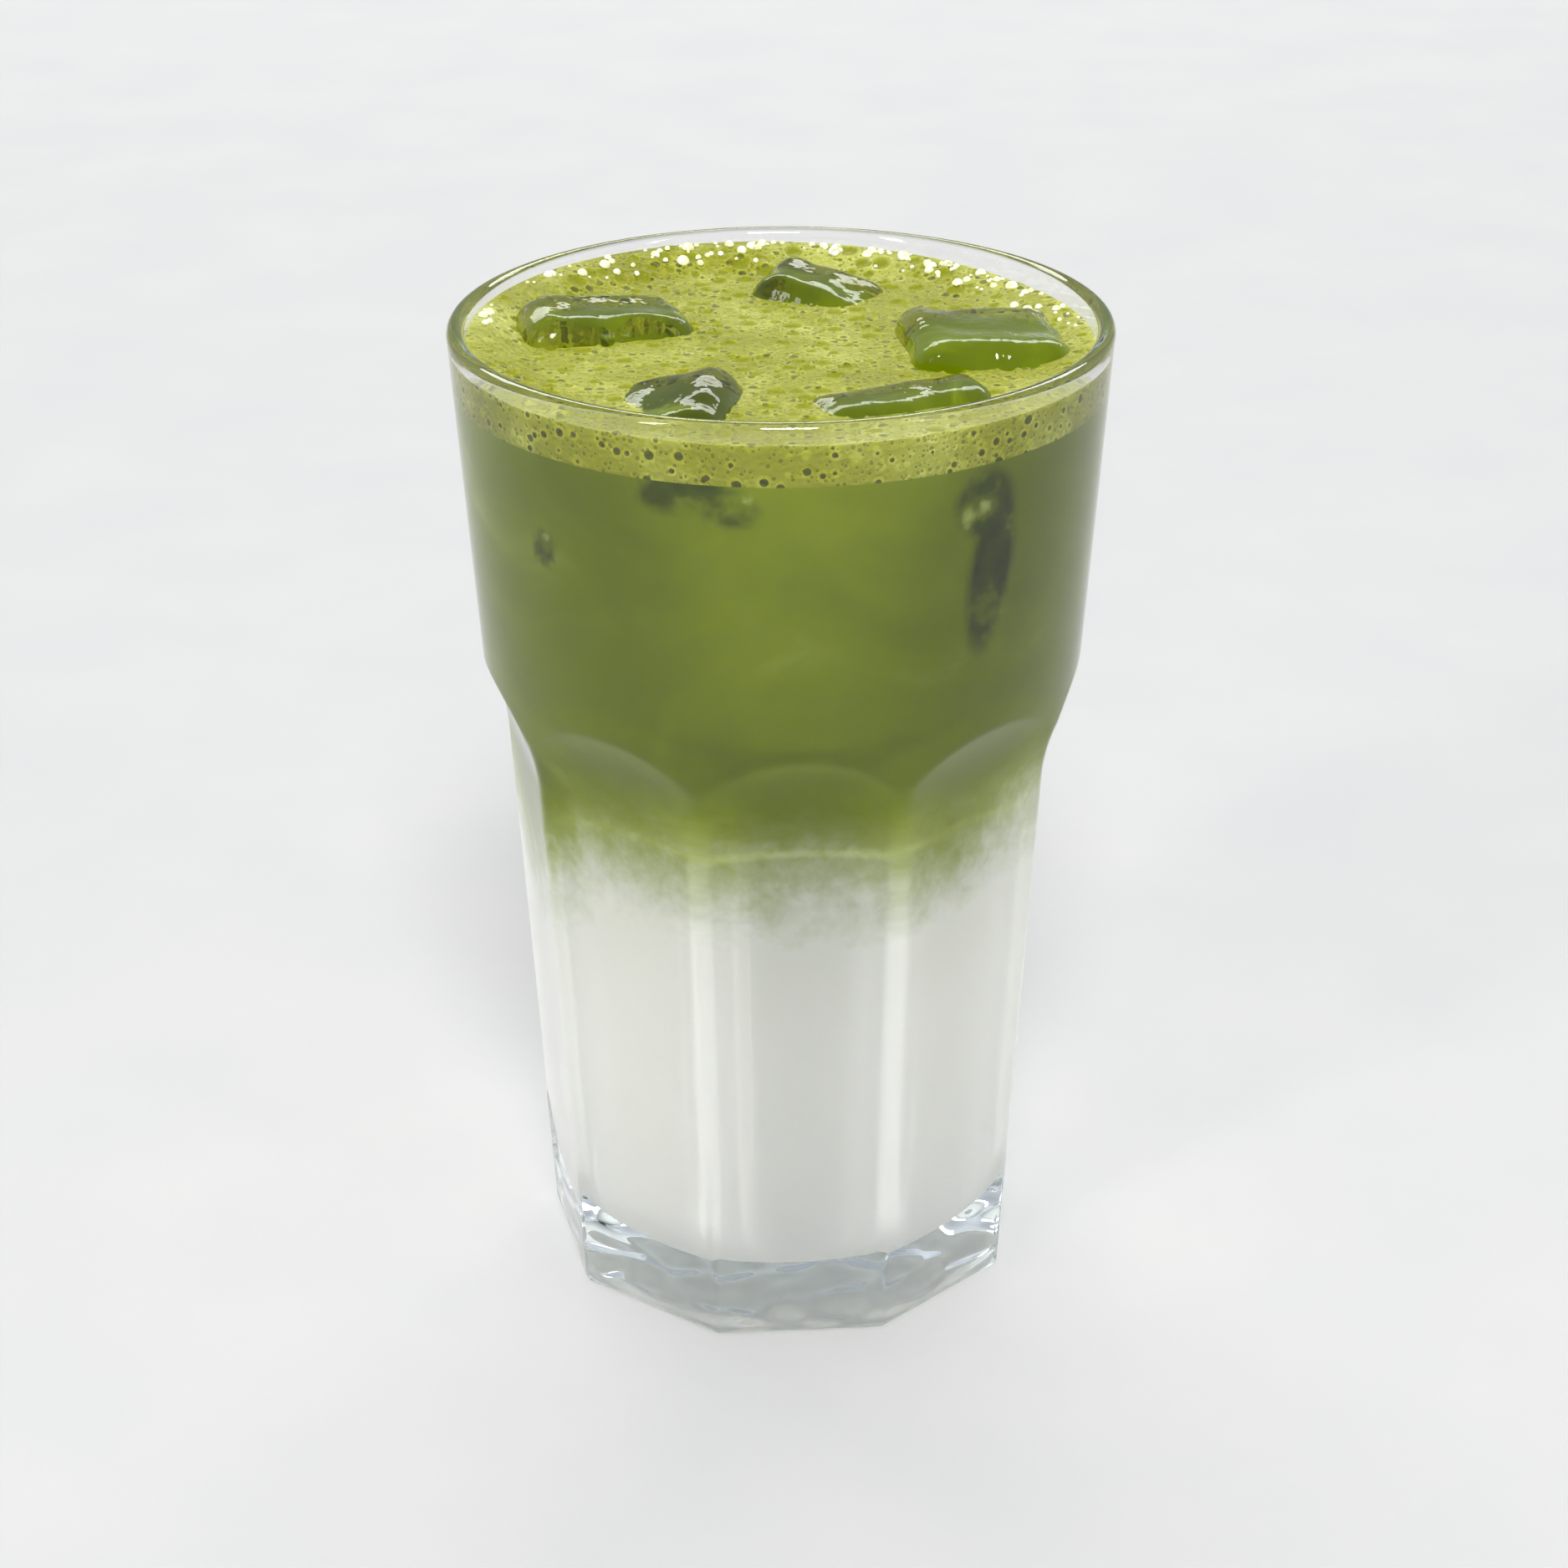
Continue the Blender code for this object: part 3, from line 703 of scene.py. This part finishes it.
foot_faces = np.stack([np.full(len(loop), foot_centre), np.roll(rows[-1], -1), rows[-1]], -1)
foam_points = np.concatenate([top_points, *side_points, [(0.0, 0.0, foam_foot)]])
all_quads = np.concatenate([foam_quads, side_quads])
foam = make_piece("foam_layer", foam_points, all_quads, foot_faces, "foam", "foam")
below = len(foam_points) - pit.size
add_attribute(foam, "pit", np.concatenate([pit.ravel(), np.zeros(below)]))
add_attribute(foam, "at_wall", np.concatenate([np.zeros(pit.size), np.ones(below)]))

# %% [markdown]
# Foam is pale where its bubbles are fine, and shows dark tea through the open ones. Bubbles too small for the
# mesh are a cell pattern of two sizes: each cell holds one round bubble whose radius is drawn by the cell's
# own luck, so that big and tiny ones lie side by side. They shade the colour and bump the surface. Along the
# glass, where a bubble is cut flat by the wall, they stand out more.

# %% Foam material
FINE_BUBBLE = 0.8               # mm, size of the cells of the fine bubbles
MID_BUBBLE = 1.8                # and of the middling ones
LUCK_POWER = 1.2                # above 1 makes small bubbles the commonest
FINE_DEPTH = 0.7                # how strongly the fine bubbles shade the colour
MID_DEPTH_TOP, MID_DEPTH_WALL = 0.8, 1.0  # and the middling ones on top and at the glass
FOAM_PATCH = 15.0               # mm, size of the paler patches

foam_material, tree, output = new_material("matcha_foam")
place = add(tree, "TexCoord", {}).outputs["Object"]


def bubble_field(tree, place, size, smallest, largest):
    """Distance to the nearest bubble's middle over twice its own radius: 0.5 is the bubble's edge."""
    cells = add(tree, "TexVoronoi", {"Vector": place, "Scale": per_mm(size)})
    luck = add(tree, "SeparateXYZ", {0: cells.outputs["Color"]}).outputs["X"]
    steep = add(tree, "Math", {0: luck, 1: LUCK_POWER}, operation="POWER").outputs[0]
    radius = add(tree, "MapRange", {0: steep, 3: 2.0 * smallest, 4: 2.0 * largest}).outputs[0]
    return add(tree, "Math", {0: cells.outputs["Distance"], 1: radius}, operation="DIVIDE").outputs[0]


fine = bubble_field(tree, place, FINE_BUBBLE, 0.20, 0.48)
middle = bubble_field(tree, place, MID_BUBBLE, 0.06, 0.42)
patches = add(tree, "TexNoise", {"Vector": place, "Scale": per_mm(FOAM_PATCH), "Detail": 4.0}).outputs["Fac"]
base = ramp(tree, patches, [(0.35, "#8b8d0c"), (0.5, "#999b24"), (0.68, "#b6b862")])
fine_shade = ramp(tree, fine, [(0.0, "#8d9240"), (0.36, "#8d9240"), (0.5, "#ffffff"), (0.75, "#e6e8c8")])
middle_shade = ramp(tree, middle, [(0.0, "#6d7418"), (0.42, "#7d8424"), (0.49, "#ffffff"), (0.7, "#ffffff"),
                                   (0.95, "#e2e4c4")])
shaded = add(tree, "Mix", {0: FINE_DEPTH, 6: base, 7: fine_shade}, data_type="RGBA",
             blend_type="MULTIPLY").outputs[2]
at_wall = add(tree, "Attribute", {}, attribute_name="at_wall").outputs["Fac"]
strength = add(tree, "MapRange", {0: at_wall, 3: MID_DEPTH_TOP, 4: MID_DEPTH_WALL}).outputs[0]
shaded = add(tree, "Mix", {0: strength, 6: shaded, 7: middle_shade}, data_type="RGBA",
             blend_type="MULTIPLY").outputs[2]
open_pit = add(tree, "Attribute", {}, attribute_name="pit").outputs["Fac"]
pit_share = add(tree, "MapRange", {0: open_pit, 1: 0.05, 2: 0.6}).outputs[0]
pit_colour = add(tree, "Mix", {0: pit_share, 6: shaded, 7: linear("#7b8010")}, data_type="RGBA").outputs[2]
foam_bump = add(tree, "Bump", {"Height": fine, "Strength": 0.5, "Distance": 0.2 * MM})
foam_shader = add(tree, "BsdfPrincipled", {"Base Color": pit_colour, "Roughness": 0.42, "IOR": DRINK_IOR,
                                           "Specular IOR Level": 0.3,
                                           "Subsurface Weight": 0.5, "Subsurface Radius": (1.0, 1.0, 0.5),
                                           "Subsurface Scale": MM, "Normal": foam_bump.outputs["Normal"]})
tree.links.new(foam_shader.outputs[0], output.inputs["Surface"])
foam.data.materials.append(foam_material)

# %% [markdown]
# ## Ice
#
# Each block is a cube whose points are drawn to a smaller inner box and pushed out again by the corner's
# radius, then dented by noise as meltwater does.

# %% Ice surfaces
# For each block: centre and size (mm), turns about x, y and z (degrees), taper, and seed of its dents
ICE = {
    "ice_1": ((-25.0, 9.8, 129.9), (25.0, 15.0, 20.0), (3.0, 6.0, 16.0), -0.08, 1.3),
    "ice_2": ((4.6, 27.2, 129.4), (20.0, 15.0, 19.0), (4.0, 14.0, -26.0), -0.12, 7.7),
    "ice_3": ((27.4, 1.2, 130.6), (22.0, 21.0, 18.0), (0.0, 3.0, 8.0), 0.03, 4.1),
    "ice_4": ((-12.0, -22.6, 128.4), (19.0, 22.0, 20.0), (8.0, -18.0, -10.0), -0.22, 9.2),
    "ice_5": ((16.0, -21.4, 131.1), (25.0, 12.0, 13.5), (0.0, -2.0, 22.0), 0.0, 2.6),
}
ICE_CORNER = 4.0
ICE_CELLS = 28
ICE_SWELL = 0.7                 # mm, height of the wide swellings
SWELL_SIZE = 9.0                # mm, their width
ICE_DENT = 0.9                  # mm, depth of the small hollows that meltwater leaves
DENT_SIZE = 5.5                 # mm, their width


def cube_grid(cells):
    """Points of a cube's six faces on even grids from -1 to 1, and their quads, facing outwards."""
    line = np.linspace(-1.0, 1.0, cells + 1)
    u, v = np.meshgrid(line, line, indexing="ij")
    one = np.ones_like(u)
    sides = [(u, v, one), (v, u, -one), (one, u, v), (-one, v, u), (v, one, u), (u, -one, v)]
    points = np.concatenate([np.stack(side, -1).reshape(-1, 3) for side in sides])
    cell = np.arange((cells + 1) ** 2).reshape(cells + 1, cells + 1)
    quads = np.stack([cell[:-1, :-1], cell[1:, :-1], cell[1:, 1:], cell[:-1, 1:]], -1).reshape(-1, 4)
    quads = np.concatenate([quads + side * cell.size for side in range(6)])
    _, first, where = np.unique(np.round(points * cells * 4).astype(int), axis=0,
                                return_index=True, return_inverse=True)
    return points[first], where.reshape(-1)[quads]


def ice_points(unit, recipe, shrink):
    """Rounded box: inner point clamp(p) plus the corner radius along p - clamp(p), then dents and a taper."""
    centre, size, turns, taper, seed = recipe
    half = np.array(size) / 2
    spread = np.sign(unit) * np.abs(unit) ** 0.8 * half
    corner = min(ICE_CORNER, half.min() * 0.7)
    core = np.clip(spread, corner - half, half - corner)
    out = spread - core
    point = core + out / np.linalg.norm(out, axis=1, keepdims=True) * corner
    bump = np.array([noise.noise(Vector(p) / SWELL_SIZE + Vector((seed, seed, seed))) for p in point])
    dent = np.array([noise.noise(Vector(p) / DENT_SIZE + Vector((seed, 0.0, seed))) for p in point])
    length = np.linalg.norm(half)
    point = point * (1.0 + (bump * ICE_SWELL + dent * ICE_DENT) / length)[:, None]
    narrow = 1.0 + taper * point[:, 2:] / half[2]
    point[:, :2] *= narrow
    point *= (half - shrink) / half
    turn = np.array(Euler([math.radians(a) for a in turns], "XYZ").to_matrix())
    return point @ turn.T + np.array(centre)


unit_cube, cube_quads = cube_grid(ICE_CELLS)
no_triangles = np.zeros((0, 3), int)
ice_pieces = {}
for name, recipe in ICE.items():
    ice_pieces[name] = make_piece(name + "_melting", ice_points(unit_cube, recipe, 0.0), cube_quads,
                                  no_triangles, "ice", name)


# %% [markdown]
# The foam and the tea are cut with a slightly smaller copy of each block, so a look into the ice ends on dark
# tea and no film of air shines between them. The pockets' walls are shaded flat, and the depth of the open
# bubbles, which the cut spreads over the pockets' rims, is taken off them again.

# %% Hollows for the ice
ICE_SKIN = 0.12                 # mm, how much smaller than the ice its hollow is
POCKET_REACH = 38.5             # mm, no pocket lies further from the axis
STEEP = 0.5                     # upright part of the normal below which a face belongs to a wall


def cut_hollows(piece, recipes, shrink):
    """Cut slightly smaller copies of the blocks out of a layer."""
    for name, recipe in recipes.items():
        mesh = bpy.data.meshes.new(name + "_hollow")
        points = ice_points(unit_cube, recipe, shrink)
        halves = np.concatenate([cube_quads[:, [0, 1, 2]], cube_quads[:, [0, 2, 3]]])
        mesh.from_pydata((points * MM).tolist(), [], halves.tolist())
        cutter = bpy.data.objects.new(name + "_hollow", mesh)
        bpy.context.scene.collection.objects.link(cutter)
        piece.modifiers.new("triangles", "TRIANGULATE")
        cut = piece.modifiers.new(name, "BOOLEAN")
        cut.operation = "DIFFERENCE"
        cut.solver = "MANIFOLD"
        cut.object = cutter
        evaluated = piece.evaluated_get(bpy.context.evaluated_depsgraph_get())
        result = bpy.data.meshes.new_from_object(evaluated)
        piece.modifiers.clear()
        result.set_sharp_from_angle(angle=SHARP_ANGLE)
        old = piece.data
        piece.data = result
        bpy.data.meshes.remove(old)
        bpy.data.objects.remove(cutter)
        bpy.data.meshes.remove(mesh)
    while len(piece.data.materials) > 1:
        piece.data.materials.pop()
    print(piece.name, "after the hollows:", len(piece.data.polygons), "faces")


def finish_pockets(piece):
    """Shade the pockets' steep walls flat and set the depth of open bubbles on them to nothing."""
    faces = piece.data.polygons
    normal, centre = np.empty(len(faces) * 3, np.float32), np.empty(len(faces) * 3, np.float32)
    faces.foreach_get("normal", normal)
    faces.foreach_get("center", centre)
    normal, centre = normal.reshape(-1, 3), centre.reshape(-1, 3) / MM
    pocket = (np.abs(normal[:, 2]) < STEEP) & (np.hypot(centre[:, 0], centre[:, 1]) < POCKET_REACH)
    faces.foreach_set("use_smooth", ~pocket)
    old_pit = piece.data.attributes.get("pit")
    if old_pit:
        corner, sides = np.empty(len(piece.data.loops), np.int32), np.empty(len(faces), np.int32)
        piece.data.loops.foreach_get("vertex_index", corner)
        faces.foreach_get("loop_total", sides)
        depth = np.empty(len(piece.data.vertices), np.float32)
        old_pit.data.foreach_get("value", depth)
        depth[corner[np.repeat(pocket, sides)]] = 0.0
        add_attribute(piece, "pit", depth)


for piece in (foam, matcha):
    cut_hollows(piece, ICE, ICE_SKIN)
    finish_pockets(piece)
store_place(matcha)

# %% [markdown]
# Clear freezer ice, wet and smooth on top, with an index of 1.31. Meltwater runs over it in small ripples,
# which tear the lamps' reflections into glints, and its shine is duller in patches where it is dry. Lamps
# shine through it, so that the drink below isn't in a black shadow.

# %% Ice material
ICE_IOR = 1.31
MELT_SIZE = 5.0                 # mm, width of the ripples
MELT_HEIGHT = 0.9               # mm, and their height
FROST_SIZE = 8.0                # mm, width of the duller patches

ice_material, tree, output = new_material("wet_clear_ice")
place = add(tree, "TexCoord", {}).outputs["Object"]
melt = add(tree, "TexNoise", {"Vector": place, "Scale": per_mm(MELT_SIZE), "Detail": 3.0}).outputs["Fac"]
ice_bump = add(tree, "Bump", {"Height": melt, "Strength": 0.5, "Distance": MELT_HEIGHT * MM})
frost = add(tree, "TexNoise", {"Vector": place, "Scale": per_mm(FROST_SIZE), "Detail": 2.0}).outputs["Fac"]
frost_roughness = add(tree, "MapRange", {0: frost, 1: 0.50, 2: 0.70, 3: 0.02, 4: 0.10}).outputs[0]
ice_shader = add(tree, "BsdfPrincipled", {"Base Color": linear("#f2f6ee"), "Roughness": frost_roughness,
                                          "Transmission Weight": 1.0, "IOR": ICE_IOR,
                                          "Normal": ice_bump.outputs["Normal"]})
ice_open = add(tree, "BsdfTransparent", {"Color": (0.88, 0.93, 0.86, 1.0)})
for_lamps = add(tree, "LightPath", {}).outputs["Is Shadow Ray"]
ice_surface = add(tree, "MixShader", {0: for_lamps, 1: ice_shader.outputs[0], 2: ice_open.outputs[0]})
tree.links.new(ice_surface.outputs[0], output.inputs["Surface"])
for piece in ice_pieces.values():
    piece.data.materials.append(ice_material)

# %% [markdown]
# ## Bubbles on the rim of the foam
#
# Where the foam meets the glass at the back, big clear bubbles stand in a row and catch the window's light.
# Each is a low dome on a small grid of its own, and all of them are one mesh.

# %% Rim bubbles
RIM_BUBBLES = 150
RIM_SPREAD = math.radians(170.0)  # angle of the back of the rim that they stand along
RIM_SMALLEST, RIM_RANGE = 0.28, 0.75  # mm, least radius and how much more it can be
RIM_DEPTH = 4.5                 # mm, how far in from the glass they reach
RIM_SUNK = 0.25                 # share of the radius that is below the foam
DOME_RINGS = 6
DOME_SIDES = 14
DOME_END = 105.0                # degrees from the top to the last ring


def domes(places, radii):
    """Low domes: rings at radius r sin(a) and height r cos(a) for a from 0 to DOME_END, closed below."""
    turn = np.arange(DOME_SIDES) * (2 * math.pi / DOME_SIDES)
    slope = np.radians(np.linspace(DOME_END / DOME_RINGS, DOME_END, DOME_RINGS))
    ring = np.stack([np.outer(np.sin(slope), np.sin(turn)), -np.outer(np.sin(slope), np.cos(turn)),
                     np.outer(np.cos(slope), np.ones(DOME_SIDES))], -1).reshape(-1, 3)
    dome = np.concatenate([[(0.0, 0.0, 1.0)], ring, [(0.0, 0.0, -0.3)]])
    points = places[:, None, :] + dome[None] * radii[:, None, None]
    quads, triangles = turned_faces(DOME_RINGS, DOME_SIDES)
    shift = np.arange(len(places))[:, None, None] * len(dome)
    all_quads, all_triangles = quads[None] + shift, triangles[None] + shift
    return points.reshape(-1, 3), all_quads.reshape(-1, 4), all_triangles.reshape(-1, 3)


rim_azimuth = math.radians(180.0) + (rng.random(RIM_BUBBLES) - 0.5) * RIM_SPREAD
rim_size = RIM_SMALLEST + RIM_RANGE * rng.random(RIM_BUBBLES) ** 2.5
rim_reach = cavity_radius(FOAM_TOP) - 0.15 - rim_size - RIM_DEPTH * rng.random(RIM_BUBBLES) ** 2
rim_x, rim_y = rim_reach * np.sin(rim_azimuth), -rim_reach * np.cos(rim_azimuth)
rim_z = FOAM_TOP + foam_wave(rim_x, rim_y) - RIM_SUNK * rim_size
clear_of_ice = np.ones(RIM_BUBBLES, bool)
for recipe in ICE.values():
    clear_of_ice &= np.hypot(rim_x - recipe[0][0], rim_y - recipe[0][1]) > 0.6 * max(recipe[1][:2])
rim_places = np.stack([rim_x, rim_y, rim_z], -1)[clear_of_ice]
rim_bubbles = make_piece("rim_bubbles", *domes(rim_places, rim_size[clear_of_ice]), "foam")

# %% [markdown]
# The film of a bubble is too thin to see: what shows is its wet shine and the pale froth inside it. So the
# domes are a bright glossy skin over a soft pale body, a little uneven in colour, and that near-white body is
# partly a painted highlight.

# %% Bubble film
FILM_GRAIN = 0.8                # mm, size of the uneven spots

film_material, tree, output = new_material("bubble_film")
film_grain = add(tree, "TexNoise", {"Vector": add(tree, "TexCoord", {}).outputs["Object"],
                                    "Scale": per_mm(FILM_GRAIN), "Detail": 2.0}).outputs["Fac"]
# Pale froth and painted highlight: the near-white body colour stands in partly for the light that clear
# bubbles catch.
froth_and_painted_highlight = ramp(tree, film_grain, [(0.3, "#c9cc8a"), (0.7, "#f4f5e4")])
film_shader = add(tree, "BsdfPrincipled", {"Base Color": froth_and_painted_highlight, "Roughness": 0.08, "IOR": DRINK_IOR,
                                           "Specular IOR Level": 0.9, "Subsurface Weight": 0.4,
                                           "Subsurface Radius": (1.0, 1.0, 0.6),
                                           "Subsurface Scale": 0.5 * MM})
tree.links.new(film_shader.outputs[0], output.inputs["Surface"])
rim_bubbles.data.materials.append(film_material)

# %% [markdown]
# ## Light gathered by the ribs
#
# Each rib is a lens: it gathers a lamp's light to an upright band on the drink just behind it. A path tracer
# seldom finds such paths by luck, so Cycles is told which piece bends the light and which ones catch it.

# %% Light gathered by the ribs
glass.cycles.is_caustics_caster = True
for piece in (milk, matcha):
    piece.cycles.is_caustics_receiver = True
print("the ribs throw light on:", [piece.name for piece in (milk, matcha)])
